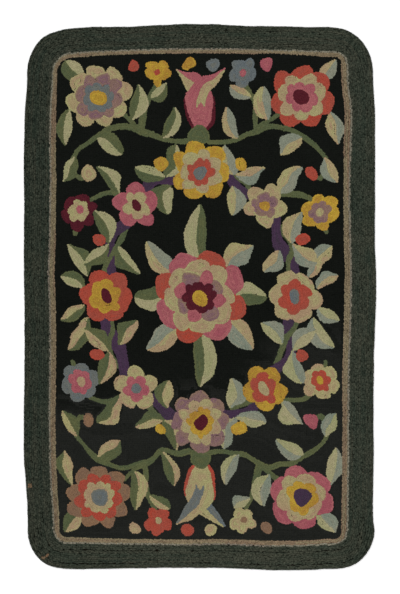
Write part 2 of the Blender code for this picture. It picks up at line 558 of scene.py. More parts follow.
@dataclass(frozen=True)
class RugLines:
    """The rug's lines as its solid has them: the edge, and the stripe's outer and inner lines."""

    edge: Line
    stripe: Line
    field: Line

    @classmethod
    def of_node(cls, node: str, inner_seam_reach: float = 0.008) -> "RugLines":
        """Reads the lines from a node's solid.

        Args:
            node: The node's name.
            inner_seam_reach: A seam nearer than this to the field's flat top is the inner one.

        Returns:
            The lines.
        """
        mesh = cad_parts[node].data
        points = np.empty(len(mesh.vertices) * 3, np.float32)
        mesh.vertices.foreach_get("co", points)
        points = np.unique(points.reshape(-1, 3).round(6).astype(float), axis=0)

        def at(height: float) -> np.ndarray:
            """The solid's corners at one height, seen from above."""
            return points[np.abs(points[:, 2] - height) < HEIGHT_SLACK][:, :2]

        seams = at(SEAM_HEIGHT)
        flat_top = Line.through(at(FIELD_HEIGHT)).points()
        gaps = np.array([np.hypot(*(flat_top - seam).T).min() for seam in seams])
        inner = gaps < inner_seam_reach
        return cls(Line.through(at(EDGE_HEIGHT)), Line.through(seams[~inner]), Line.through(seams[inner]))


@dataclass
class Loops:
    """Many loops of wool: where each stands, how it is turned and sized, and how it is dyed."""

    places: np.ndarray
    turns: np.ndarray
    lengths: np.ndarray
    widths: np.ndarray
    strips: np.ndarray
    dyes: np.ndarray

    def where(self, chosen: np.ndarray) -> "Loops":
        """Only the chosen loops."""
        return Loops(*(getattr(self, name)[chosen] for name in self.__dataclass_fields__))

    @classmethod
    def joined(cls, groups: list["Loops"]) -> "Loops":
        """All the groups as one."""
        names = cls.__dataclass_fields__
        return cls(*(np.concatenate([getattr(group, name) for group in groups]) for name in names))


def strip_tones(count: int, rng: np.random.Generator, length: int = STRIP_LOOPS) -> np.ndarray:
    """How each loop of one row is dyed: the same along each strip of wool, from -1 to 1.

    Args:
        count: The loops in the row.
        rng: Where the chances come from.
        length: The loops that one strip makes.

    Returns:
        One tone a loop.
    """
    strips = (np.arange(count) + rng.integers(length)) // length
    return rng.uniform(-1, 1, strips.max() + 1)[strips] if count else np.empty(0)


def at_ends(places: np.ndarray) -> np.ndarray:
    """How far each place belongs to the rug's two ends: one in the border there, nought along the sides."""
    x, y = np.abs(places).T
    return np.clip((y - 0.57) / 0.04, 0, 1) * np.clip((0.42 - x) / 0.08, 0, 1)


@dataclass(frozen=True)
class Band:
    """Rows that run round the rug between two of its lines. At the rug's ends some of them have parted."""

    outer: Line
    inner: Line
    rows: int
    dye: Dye
    edge_dye: Dye
    sway: float = 0.00040
    edge_sway: float = 0.00040
    thinnest: float = 0.88
    thinnest_at_ends: float = 0.76
    even_loops: int = 6
    parted: tuple[int, ...] = ()
    parted_loops: int = 13
    parted_by: float = 0.0012

    def hooked(self, rng: np.random.Generator) -> list[Loops]:
        """Works the band.

        Args:
            rng: Where the chances come from.

        Returns:
            The loops of each row, the outermost row first.
        """
        return [self._row(k, rng) for k in range(self.rows)]

    def _row(self, row: int, rng: np.random.Generator) -> Loops:
        """The loops of one row."""
        line = self.outer.towards(self.inner, (row + 0.5) / self.rows)
        places, turns, pitch = line.stepped(LOOP_PITCH, rng.uniform())
        count = len(places)
        breadth = np.mean(self.outer.reaches - self.inner.reach(self.outer.bearings)) / self.rows
        sway = self.edge_sway if row == 0 else self.sway
        dye = self.edge_dye if row == 0 else self.dye
        thickness = 0.5 + 0.5 * strip_tones(count, rng, self.even_loops)
        thinnest = self.thinnest + (self.thinnest_at_ends - self.thinnest) * at_ends(places)
        gaping = strip_tones(count, rng, self.parted_loops) > -0.3
        parted = (row in self.parted) * gaping * at_ends(places)
        parted *= np.where(places[:, 1] < 0, 1.0, 0.45)
        places = places + rng.normal(0, sway, (count, 2))
        places[:, 1] += parted * np.copysign(self.parted_by, places[:, 1])
        return Loops(
            places=places,
            turns=turns,
            lengths=np.full(count, pitch) * rng.uniform(0.95, 1.08, count),
            widths=np.full(count, min(breadth, ROW_PITCH))
            * (thinnest + (1.08 - thinnest) * thickness)
            * (1 - 0.38 * parted)
            * rng.uniform(0.97, 1.05, count),
            strips=strip_tones(count, rng),
            dyes=np.full(count, dye.value),
        )


@dataclass(frozen=True)
class Petals:
    """One ring of petals of a blossom. Reach and notch are shares of the blossom's radius and the ring's."""

    count: int
    reach: float
    notch: float
    dyes: tuple[Dye, ...]
    point: float = 0.7
    turn: float = 0.0


class Chart:
    """The field's pattern: the wool of each square millimetre. Places on it are in millimetres."""

    def __init__(self, field_line: Line, sway: float, seed: int) -> None:
        """Starts with the whole field black.

        Args:
            field_line: The line that the field ends at.
            sway: How far the hand that draws the pattern strays, in millimetres.
            seed: Makes the straying the same each time.
        """
        reach = field_line.points() / MILLIMETRE
        self.low = np.floor(reach.min(axis=0)).astype(int) - 12
        high = np.ceil(reach.max(axis=0)).astype(int) + 12
        x, y = np.meshgrid(
            np.arange(self.low[0], high[0], dtype=float), np.arange(self.low[1], high[1], dtype=float)
        )
        inside = np.hypot(x, y) * MILLIMETRE < field_line.reach(np.arctan2(y, x))
        self.dyes = np.where(inside, BLACK.value, 0).astype(np.int16)
        rng = np.random.default_rng(seed)
        self.sway = sway
        self.x = x + self._stray(x, y, rng)
        self.y = y + self._stray(x, y, rng)

    def _stray(self, x: np.ndarray, y: np.ndarray, rng: np.random.Generator, waves: int = 7) -> np.ndarray:
        """Slow waves all over the chart, by which the drawing strays from true."""
        total = np.zeros_like(x)
        for _ in range(waves):
            length = rng.uniform(45, 170)
            bearing = rng.uniform(0, FULL_TURN)
            along = (x * math.cos(bearing) + y * math.sin(bearing)) / length
            total += np.sin(FULL_TURN * along + rng.uniform(0, FULL_TURN))
        return total * (self.sway / math.sqrt(waves / 2))

    def lay(
        self, middle: Place, reach: float, chosen: Callable[[np.ndarray, np.ndarray], np.ndarray]
    ) -> None:
        """Draws one motif over what is there.

        Args:
            middle: The middle of the square that the motif is in.
            reach: Half the square's side.
            chosen: Gives the dye's number for places counted from the middle, and 0 where it draws nothing.
        """
        far = reach + 2 * self.sway + 1
        rows, columns = (
            slice(max(0, int(middle[k] - far - self.low[k])), max(0, int(middle[k] + far - self.low[k]) + 1))
            for k in (1, 0)
        )
        found = chosen(self.x[rows, columns] - middle[0], self.y[rows, columns] - middle[1])
        here = self.dyes[rows, columns]
        drawn = (found > 0) & (here > 0)
        here[drawn] = found[drawn]

    def distances(self, reach: int = 75) -> np.ndarray:
        """How far each cell is from the edge of its patch of colour, in millimetres.

        Args:
            reach: The furthest that is measured across the chart.

        Returns:
            One distance a cell.
        """
        edge = np.zeros(self.dyes.shape, bool)
        level = self.dyes[:, 1:] != self.dyes[:, :-1]
        upright = self.dyes[1:] != self.dyes[:-1]
        edge[:, 1:] |= level
        edge[:, :-1] |= level
        edge[1:] |= upright
        edge[:-1] |= upright
        far = np.where(edge, 0.0, 4.0 * reach)
        for k in range(1, len(far)):
            far[k] = np.minimum(far[k], far[k - 1] + 1)
        for k in range(len(far) - 2, -1, -1):
            far[k] = np.minimum(far[k], far[k + 1] + 1)
        squares = far * far
        nearest = squares.copy()
        for step in range(1, reach + 1):
            nearest[:, step:] = np.minimum(nearest[:, step:], squares[:, :-step] + step * step)
            nearest[:, :-step] = np.minimum(nearest[:, :-step], squares[:, step:] + step * step)
        return np.sqrt(nearest) + 0.5


@dataclass(frozen=True)
class Blossom:
    """A blossom seen from the front: rings of petals, the widest first, and a round heart last."""

    middle: Place
    radius: float
    rings: tuple[Petals, ...]
    turn: float = 0.0

    @classmethod
    def full(
        cls,
        middle: Place,
        radius: float,
        dyes: tuple[Dye, ...],
        petals: int,
        turn: float,
        notch: float = 0.24,
    ) -> "Blossom":
        """A blossom with a ring of petals in each of the wools but the last, which is its round heart's.

        Args:
            middle: Where its heart is.
            radius: How far its petals reach.
            dyes: The wools, from the outside in.
            petals: How many petals each ring has.
            turn: How far it is turned, in radians.
            notch: How deep the outer petals are cut.

        Returns:
            The blossom.
        """
        last = len(dyes) - 1
        rings = [
            Petals(petals, 1 - 0.76 * k / last, notch if k < last else 0.0, (dye,), 0.7, 0.5 * (k % 2))
            for k, dye in enumerate(dyes)
        ]
        return cls(middle, radius, tuple(rings), turn)

    def draw(self, chart: Chart) -> None:
        """Draws it on the chart."""
        for ring in self.rings:
            chart.lay(self.middle, self.radius, lambda x, y, ring=ring: self._ring(x, y, ring))

    def _ring(self, x: np.ndarray, y: np.ndarray, ring: Petals) -> np.ndarray:
        """The dyes of one ring."""
        phase = (np.arctan2(y, x) - self.turn) / FULL_TURN * ring.count + ring.turn
        petal = np.floor(phase)
        lobe = np.abs(np.sin((phase - petal) * math.pi)) ** ring.point
        edge = self.radius * ring.reach * (1 - ring.notch * (1 - lobe))
        dyes = np.array([dye.value for dye in ring.dyes])[petal.astype(int) % len(ring.dyes)]
        return np.where(np.hypot(x, y) < edge, dyes, 0)


@dataclass(frozen=True)
class Leaf:
    """A leaf or petal from its base to its tip, in two wools, one on each side of its rib."""

    base: Place
    tip: Place
    breadth: float
    dyes: tuple[Dye, Dye]
    bend: float = 0.0
    fullness: float = 0.75
    belly: float = 1.0

    def draw(self, chart: Chart) -> None:
        """Draws it on the chart."""
        run = Vector(self.tip) - Vector(self.base)
        middle = (Vector(self.tip) + Vector(self.base)) / 2
        reach = run.length / 2 + self.breadth + abs(self.bend) * run.length
        chart.lay(tuple(middle), reach, lambda x, y: self._sides(x, y, run))

    def _sides(self, x: np.ndarray, y: np.ndarray, run: Vector) -> np.ndarray:
        """The dye on either side of the rib."""
        ahead = run.normalized()
        share = (x * ahead.x + y * ahead.y) / run.length + 0.5
        within = np.clip(share, 0, 1)
        aside = -x * ahead.y + y * ahead.x - self.bend * run.length * 4 * within * (1 - within)
        outline = np.sin(math.pi * within**self.belly) ** self.fullness * self.breadth / 2
        inside = (share > 0) & (share < 1) & (np.abs(aside) < outline)
        return np.where(inside, np.where(aside > 0, self.dyes[0].value, self.dyes[1].value), 0)


@dataclass(frozen=True)
class Stem:
    """A stem along a smooth line through its points, in one wool, from its first thickness to its last."""

    points: tuple[Place, ...]
    dye: Dye
    thickness: float = 15.0
    end_thickness: float | None = None

    def draw(self, chart: Chart) -> None:
        """Draws it on the chart as round dabs close together."""
        route = self.route()
        last = self.thickness if self.end_thickness is None else self.end_thickness
        for place, share in zip(route, np.linspace(0, 1, len(route))):
            radius = (self.thickness + (last - self.thickness) * share) / 2
            Dab(tuple(place), radius, self.dye).draw(chart)

    def route(self, steps: int = 26) -> np.ndarray:
        """Points on the smooth line, with so many steps from each given point to the next."""
        given = np.array(self.points, float)
        padded = np.vstack([2 * given[0] - given[1], given, 2 * given[-1] - given[-2]])
        share = np.linspace(0, 1, steps, endpoint=False)[:, None]
        pieces = []
        for before, start, end, after in zip(padded, padded[1:], padded[2:], padded[3:]):
            pieces.append(
                start
                + share * (end - before) / 2
                + share**2 * (before - 2.5 * start + 2 * end - after / 2)
                + share**3 * (1.5 * (start - end) + (after - before) / 2)
            )
        return np.vstack([*pieces, given[-1:]])


@dataclass(frozen=True)
class Dab:
    """A round dab of one wool, such as a berry."""

    middle: Place
    radius: float
    dye: Dye

    def draw(self, chart: Chart) -> None:
        """Draws it on the chart."""
        chart.lay(
            self.middle,
            self.radius,
            lambda x, y: np.where(np.hypot(x, y) < self.radius, self.dye.value, 0),
        )


@dataclass(frozen=True)
class Bell:
    """A bell flower from the side: two outer petals, a heart petal between them, and a green cup."""

    base: Place
    tip: Place
    breadth: float
    dyes: tuple[Dye, Dye, Dye]

    def draw(self, chart: Chart) -> None:
        """Draws it on the chart."""
        outer, inner, heart = self.dyes
        base, tip = Vector(self.base), Vector(self.tip)
        run = tip - base
        aside = Vector((-run.y, run.x)).normalized() * self.breadth / 2
        throat = tuple(base + run * 0.08)
        Leaf(throat, tuple(base + run * 0.86), self.breadth * 0.66, (heart, heart), 0.0, 0.6).draw(chart)
        for side in (1, -1):
            lip = tuple(base + run + aside * side)
            Leaf(throat, lip, self.breadth * 0.44, (outer, inner)[:: side], -0.22 * side, 0.7).draw(chart)
        Leaf(self.base, tuple(base + run * 0.52), self.breadth * 0.30, (inner, inner), 0.0, 0.6).draw(chart)
        cup = tuple(base - run * 0.07), tuple(base + run * 0.24)
        Leaf(*cup, self.breadth * 0.42, (OLIVE, OLIVE), 0.0, 0.5).draw(chart)


@dataclass(frozen=True)
class Corner:
    """One quarter of the field: which side and end it is at, and the wools that its flowers take."""

    side: int
    end: int
    great: tuple[Dye, ...]
    middling: tuple[Dye, ...]
    small: tuple[Dye, ...]
    leaf: tuple[Dye, Dye]
    petals: int = 7

    def at(self, place: Place) -> Place:
        """A place of the first quarter, as it lies in this one."""
        return place[0] * self.side, place[1] * self.end

    def leaves(
        self, leaves: tuple[tuple[Place, Place, float, float], ...], turned: bool = False
    ) -> list[Leaf]:
        """Leaves of the first quarter, as they lie in this one.

        Args:
            leaves: Each leaf's base, tip, breadth and bend.
            turned: Whether the leaves have their two wools the other way round.

        Returns:
            The leaves.
        """
        hand = self.side * self.end
        dyes = self.leaf[::-1] if turned != (hand < 0) else self.leaf
        return [
            Leaf(self.at(base), self.at(tip), breadth, dyes, bend * hand)
            for base, tip, breadth, bend in leaves
        ]


CORNERS = (
    Corner(1, 1, (CORAL, CREAM, PINK, MAROON), (CREAM, MAUVE, GOLD), (BLUE, PINK), (CREAM, SAGE)),
    Corner(-1, 1, (CREAM, MAUVE, BLUE, GOLD), (PINK, CREAM, MAROON), (GOLD, CORAL), (CELERY, OLIVE), 8),
    Corner(1, -1, (PINK, CREAM, GOLD, PURPLE), (GOLD, CORAL, CREAM), (CREAM, BROWN), (CELERY, SAGE), 6),
    Corner(-1, -1, (BROWN, CORAL, CREAM, BLUE), (CREAM, PINK, BLUE), (CORAL, CREAM), (CREAM, OLIVE), 9),
)


@dataclass(frozen=True)
class FieldPattern:
    """A plain wreath of flowers round a rose, with a spray of flowers at either end of the field."""

    chart: Chart
    wreath_half_width: float = 246.0
    wreath_half_length: float = 326.0
    wreath_twists: int = 10
    strand_sway: float = 13.0

    def draw(self) -> None:
        """Draws the whole pattern."""
        self._wreath()
        for corner in CORNERS:
            self._spray(corner)
            self._wreath_leaves(corner)
        self._rose()
        self._wreath_flowers()

    def _on_wreath(self, degrees: float, out: float = 0.0) -> Place:
        """A place on the wreath, or so far outside it."""
        bearing = math.radians(degrees)
        return (
            (self.wreath_half_width + out) * math.cos(bearing),
            (self.wreath_half_length + out) * math.sin(bearing),
        )

    def _wreath(self) -> None:
        """Two stems twisted round each other, the wider one over the other by turns."""
        strands = ((1, 29, PURPLE, -2.0), (-1, 14, OLIVE, -2.0), (1, 29, PURPLE, 0.3))
        for side, thickness, dye, least in strands:
            for degrees in np.linspace(0, 360, 900).tolist():
                twist = math.radians(self.wreath_twists * degrees)
                if math.cos(twist) > least:
                    middle = self._on_wreath(degrees, side * self.strand_sway * math.sin(twist))
                    Dab(middle, thickness / 2, dye).draw(self.chart)

    def _rose(self) -> None:
        """The rose in the middle of the wreath, and its leaves."""
        for k, degrees in enumerate(range(0, 360, 45)):
            length = 160 + 66 * abs(math.sin(math.radians(degrees))) ** 3
            ahead = Vector((math.cos(math.radians(degrees)), math.sin(math.radians(degrees))))
            dyes = ((CELERY, OLIVE), (CREAM, SAGE))[k % 2]
            Leaf(tuple(ahead * 84), tuple(ahead * (length + 12)), 64, dyes, 0.08).draw(self.chart)
        rings = (
            Petals(8, 1.0, 0.20, (PINK, CORAL)),
            Petals(8, 0.78, 0.20, (CREAM,), turn=0.5),
            Petals(8, 0.55, 0.22, (MAUVE, PINK)),
            Petals(8, 0.36, 0.20, (MAROON,), turn=0.5),
            Petals(6, 0.19, 0.0, (GOLD,)),
        )
        Blossom((0, 0), 124, rings, turn=0.1).draw(self.chart)

    def _wreath_flowers(self) -> None:
        """Eight flowers on the wreath."""
        flowers = (
            (90, 80, (GOLD, CREAM, CORAL, BLUE), 7),
            (270, 80, (MAUVE, CREAM, GOLD, MAROON), 8),
            (0, 70, (CREAM, CORAL, BLUE), 6),
            (180, 70, (CORAL, GOLD, MAROON), 6),
        )
        for degrees, radius, dyes, petals in flowers:
            Blossom.full(self._on_wreath(degrees), radius, dyes, petals, 0.4).draw(self.chart)
        for corner in CORNERS:
            middle = corner.at(self._on_wreath(47))
            Blossom.full(middle, 60, corner.middling, 5, 0.3 * corner.side, notch=0.34).draw(self.chart)

    def _wreath_leaves(self, corner: Corner) -> None:
        """The leaves and berries on one quarter of the wreath."""
        for degrees, berry in ((24, CORAL), (69, GOLD)):
            for out, lean, breadth, bend in ((78, 10, 48, 0.12), (-78, -9, 48, 0.12), (70, -11, 44, -0.12)):
                foot = self._on_wreath(degrees, math.copysign(14, out))
                leaf = (foot, self._on_wreath(degrees + lean, out), breadth, bend)
                for drawn in corner.leaves((leaf,), turned=out < 0):
                    drawn.draw(self.chart)
            Dab(corner.at(self._on_wreath(degrees, 44)), 16, berry).draw(self.chart)

    def _spray(self, corner: Corner) -> None:
        """The flowers in one corner of the field."""
        stems = (
            ((24, 404), (92, 408), (152, 438), (204, 478), (262, 520)),
            ((152, 438), (142, 500), (116, 560)),
            ((128, 424), (186, 442), (246, 430), (302, 396), (334, 350), (318, 312), (290, 320)),
            ((169, 241), (236, 272), (312, 240), (330, 170)),
        )
        for points in stems:
            Stem(tuple(corner.at(place) for place in points), OLIVE, 15, 12).draw(self.chart)
        leaves = (
            ((98, 410), (70, 494), 44, 0.12),
            ((176, 458), (164, 552), 46, 0.12),
            ((270, 416), (204, 374), 46, -0.10),
            ((326, 366), (360, 300), 38, -0.10),
            ((312, 560), (354, 618), 44, 0.0),
            ((214, 268), (266, 336), 46, 0.12),
        )
        others = (
            ((336, 490), (352, 398), 42, 0.10),
            ((292, 54), (346, 136), 46, 0.12),
            ((304, 22), (362, 62), 38, 0.10),
            ((132, 520), (82, 554), 36, 0.10),
        )
        for leaf in corner.leaves(leaves) + corner.leaves(others, turned=True):
            leaf.draw(self.chart)
        turn = 0.2 * corner.side
        Blossom.full(corner.at((264, 522)), 86, corner.great, corner.petals, turn).draw(self.chart)
        Blossom.full(corner.at((314, 222)), 50, corner.middling[::-1], 6, turn).draw(self.chart)
        Blossom.full(corner.at((112, 586)), 38, corner.small, 5, 0.3, notch=0.3).draw(self.chart)
        for place, radius, dye in (
            ((290, 322), 18, corner.great[0]),
            ((174, 604), 16, corner.small[1]),
            ((30, 608), 15, corner.small[0]),
        ):
            Dab(corner.at(place), radius, dye).draw(self.chart)
        if corner.side > 0:
            dyes = (CREAM, PINK, MAROON) if corner.end > 0 else (BLUE, CREAM, CORAL)
            Bell((0, 408 * corner.end), (0, 596 * corner.end), 124, dyes).draw(self.chart)


class Hooking:
    """Works loops over the chart: along the edge of each patch of colour first, then row by row inside."""

    crowding = 0.80
    window = 9

    def __init__(self, chart: Chart, rng: np.random.Generator) -> None:
        """Measures the chart.

        Args:
            chart: The finished pattern.
            rng: Where the chances come from.
        """
        self.chart = chart
        self.rng = rng
        self.row = ROW_PITCH / MILLIMETRE
        self.step = LOOP_PITCH / MILLIMETRE
        self.depth = chart.distances()
        self.free = np.full(chart.dyes.shape, 99.0)
        steps = np.arange(-self.window, self.window + 1)
        self.near = np.hypot(*np.meshgrid(steps, steps)).astype(float)
        self.cells: list[tuple[int, int]] = []
        self.turns: list[float] = []
        self.strips: list[float] = []

    def hooked(self) -> Loops:
        """Works the whole field.

        Returns:
            The loops.
        """
        ground = self.chart.dyes == BLACK.value
        field_cells = self.chart.dyes > 0
        rows = np.floor(self.depth / self.row)
        off_row = np.abs(self.depth - (rows + 0.5) * self.row)
        on_row = (off_row < 0.62) & field_cells
        self._work(on_row & (rows == 0))
        for row in range(1, int(rows[field_cells & ~ground].max()) + 1):
            self._work(on_row & (rows == row) & ~ground)
        columns = np.arange(ground.shape[1]) / self.row
        straight = np.abs(columns - np.floor(columns) - 0.5) * self.row < 0.55
        self._work((ground & straight[None, :] & (self.depth > 1.15 * self.row)).T, upright=True)
        self._fill(field_cells & (self.depth > 1.4))
        return self._settled()

    def _work(self, allowed: np.ndarray, upright: bool = False) -> None:
        """Works every row that runs through the allowed cells.

        Args:
            allowed: The cells that a loop may stand in.
            upright: Whether the allowed cells are given with their columns as rows.
        """
        starts = np.argwhere(allowed)
        if upright:
            allowed = allowed.T
            starts = starts[:, ::-1]
        crowd = self.crowding * self.row
        for row, column in starts.tolist():
            if self.free[row, column] >= crowd:
                self._follow(row, column, allowed, crowd)

    def _follow(self, row: int, column: int, allowed: np.ndarray, crowd: float) -> None:
        """Works one row on from a cell until no allowed cell is left ahead."""
        reach = self.window
        run = []
        while True:
            run.append((row, column))
            around = slice(row - reach, row + reach + 1), slice(column - reach, column + reach + 1)
            free = self.free[around]
            np.minimum(free, self.near, out=free)
            ahead = allowed[around] & (free >= crowd) & (self.near >= self.step * 0.94)
            if not ahead.any():
                break
            best = int(np.where(ahead, self.near, 99.0).argmin())
            row += best // (2 * reach + 1) - reach
            column += best % (2 * reach + 1) - reach
        self._keep(run)

    def _keep(self, run: list[tuple[int, int]]) -> None:
        """Keeps the loops of one row, each turned along it."""
        cells = np.array(run, float)
        if len(run) > 1:
            along = np.gradient(cells, axis=0)
            turns = np.arctan2(along[:, 0], along[:, 1])
        else:
            turns = np.array([self._turn_at(*run[0])])
        self.cells.extend(run)
        self.turns.extend(turns.tolist())
        self.strips.extend(strip_tones(len(run), self.rng).tolist())

    def _turn_at(self, row: int, column: int) -> float:
        """The direction along the edge of the patch that a cell is in."""
        rise = self.depth[row + 1, column] - self.depth[row - 1, column]
        aside = self.depth[row, column + 1] - self.depth[row, column - 1]
        return math.atan2(rise, aside) + math.pi / 2

    def _fill(self, allowed: np.ndarray) -> None:
        """Puts single loops wherever the rows have left room for one."""
        room = 0.76 * self.row
        open_cells = np.argwhere(allowed & (self.free >= room))
        order = np.argsort(-self.free[tuple(open_cells.T)], kind="stable")
        reach = self.window
        for row, column in open_cells[order].tolist():
            if self.free[row, column] < room:
                continue
            around = slice(row - reach, row + reach + 1), slice(column - reach, column + reach + 1)
            np.minimum(self.free[around], self.near, out=self.free[around])
            self._keep([(row, column)])

    def _settled(self, rounds: int = 2, ease: float = 0.7) -> Loops:
        """Eases each loop to the middle of its own room, and sizes it to fill that.

        Args:
            rounds: How often the loops are eased.
            ease: How far each goes towards the middle of its room.

        Returns:
            The loops, in metres.
        """
        places = np.array(self.cells, float)[:, ::-1] + 0.5
        turns = np.array(self.turns)
        dyes = self.chart.dyes[tuple(np.array(self.cells).T)]
        for _ in range(rounds):
            middles, _, _, known = self._rooms(places, turns, dyes)
            places[known] += ease * (middles[known] - places[known])
        _, lengths, widths, known = self._rooms(places, turns, dyes)
        lengths = np.where(known, np.clip(lengths, 0.75 * self.step, 1.5 * self.step), self.step)
        widths = np.where(known, np.clip(widths, 0.75 * self.row, 1.5 * self.row), self.row)
        places += self.rng.normal(0, 0.42, places.shape)
        lengths *= self.rng.uniform(0.92, 1.10, len(lengths))
        widths *= self.rng.uniform(0.90, 1.12, len(widths))
        return Loops(
            places=(places + self.chart.low) * MILLIMETRE,
            turns=turns,
            lengths=lengths * MILLIMETRE,
            widths=widths * MILLIMETRE,
            strips=np.array(self.strips),
            dyes=dyes.astype(int),
        )

    def _rooms(self, places: np.ndarray, turns: np.ndarray, dyes: np.ndarray) -> tuple[np.ndarray, ...]:
        """The room round each loop: the cells of its colour that no other loop is nearer to.

        Args:
            places: Where the loops stand, in cells.
            turns: Their directions.
            dyes: Their dyes' numbers.

        Returns:
            The middle of each room, its length and width along and across the loop's row, and which rooms are
            big enough to measure.
        """
        shape = self.chart.dyes.shape
        nearest = np.full(shape, 99.0)
        owner = np.full(shape, -1)
        reach = 7
        steps = np.arange(-reach, reach + 1)
        for index, (x, y) in enumerate(places.tolist()):
            column, row = int(x), int(y)
            around = slice(row - reach, row + reach + 1), slice(column - reach, column + reach + 1)
            apart = np.hypot(steps[None, :] + (column + 0.5 - x), steps[:, None] + (row + 0.5 - y))
            closer = apart < nearest[around]
            nearest[around][closer] = apart[closer]
            owner[around][closer] = index
        row, column = np.nonzero(owner >= 0)
        who = owner[row, column]
        own = self.chart.dyes[row, column] == dyes[who]
        row, column, who = row[own] + 0.5, column[own] + 0.5, who[own]
        count = len(places)
        cells = np.bincount(who, minlength=count)
        known = cells >= 6
        safe = np.maximum(cells, 1)
        middles = np.column_stack(
            [np.bincount(who, weights=value, minlength=count) / safe for value in (column, row)]
        )
        across, up = column - middles[who, 0], row - middles[who, 1]
        cosine, sine = np.cos(turns)[who], np.sin(turns)[who]
        spans = []
        for distance in (across * cosine + up * sine, up * cosine - across * sine):
            spread = np.bincount(who, weights=distance**2, minlength=count) / safe
            spans.append(np.sqrt(12 * spread + 0.3))
        return middles, spans[0], spans[1], known


def mesh_object(name: str, mesh: bpy.types.Mesh) -> bpy.types.Object:
    """Puts a mesh in the scene as an object at the origin."""
    made = bpy.data.objects.new(name, mesh)
    bpy.context.scene.collection.objects.link(made)
    return made


@dataclass(frozen=True)
class LoopForm:
    """The shape of one loop, a unit wide, long and high, which the planting tree copies."""

    name: str
    crown_length: float
    crown_width: float
    shoulder: float
    overlap_along: float
    overlap_across: float
    roundness: float = 0.40
    crown_aside: float = 0.0
    walls: tuple[tuple[float, float], ...] = ()

    def made(self) -> bpy.types.Object:
        """Builds the form: a four-cornered crown, an eight-cornered shoulder, and any walls under it.

        Returns:
            The object, to be copied and then removed.
        """
        mesh = bpy.data.meshes.new(self.name)
        form = bmesh.new()
        crown = [
            form.verts.new((x * self.crown_length / 2, y * self.crown_width / 2 + self.crown_aside, 1.0))
            for x, y in ((1, 1), (-1, 1), (-1, -1), (1, -1))
        ]
        ring = self._ring(form, 1.0, self.shoulder)
        form.faces.new(crown)
        for k in range(4):
            form.faces.new((crown[k], ring[2 * k], ring[2 * k + 1]))
            form.faces.new((crown[k], ring[2 * k + 1], ring[(2 * k + 2) % 8], crown[(k + 1) % 4]))
        for breadth, height in self.walls:
            lower = self._ring(form, breadth, height)
            for k in range(8):
                following = (k + 1) % 8
                form.faces.new((ring[k], lower[k], lower[following], ring[following]))
            ring = lower
        form.to_mesh(mesh)
        form.free()
        return mesh_object(self.name, mesh)

    def _ring(self, form: bmesh.types.BMesh, breadth: float, height: float) -> list[bmesh.types.BMVert]:
        """Eight corners round the loop at one height, two on each quarter."""
        corners = []
        for k in range(8):
            quarter, second = divmod(k, 2)
            angle = (quarter + 0.5) * math.pi / 2 + (second - 0.5) * self.roundness
            reach = 0.5 * breadth / max(abs(math.cos(angle)), abs(math.sin(angle)))
            corners.append(form.verts.new((reach * math.cos(angle), reach * math.sin(angle), height)))
        return corners


FIELD_LOOP = LoopForm("field_loop", 0.55, 0.50, 0.67, 1.75, 1.60)
BAND_LOOP = LoopForm("band_loop", 0.52, 0.46, 0.58, 1.45, 1.35)
RIM_WALLS = ((1.02, 0.40), (0.98, 0.16), (0.86, 0.0))
RIM_LOOP = LoopForm("rim_loop", 0.62, 0.56, 0.66, 1.36, 1.20, crown_aside=0.09, walls=RIM_WALLS)


@dataclass(frozen=True)
class StitchForm:
    """The flat stitch under one loop, a unit long and wide, facing the floor."""

    name: str = "stitch_form"

    def made(self) -> bpy.types.Object:
        """Builds the stitch, to be copied and then removed."""
        mesh = bpy.data.meshes.new(self.name)
        corners = [(-0.5, -0.5, 0.0), (-0.5, 0.5, 0.0), (0.5, 0.5, 0.0), (0.5, -0.5, 0.0)]
        mesh.from_pydata(corners, [], [(0, 1, 2, 3)])
        return mesh_object(self.name, mesh)


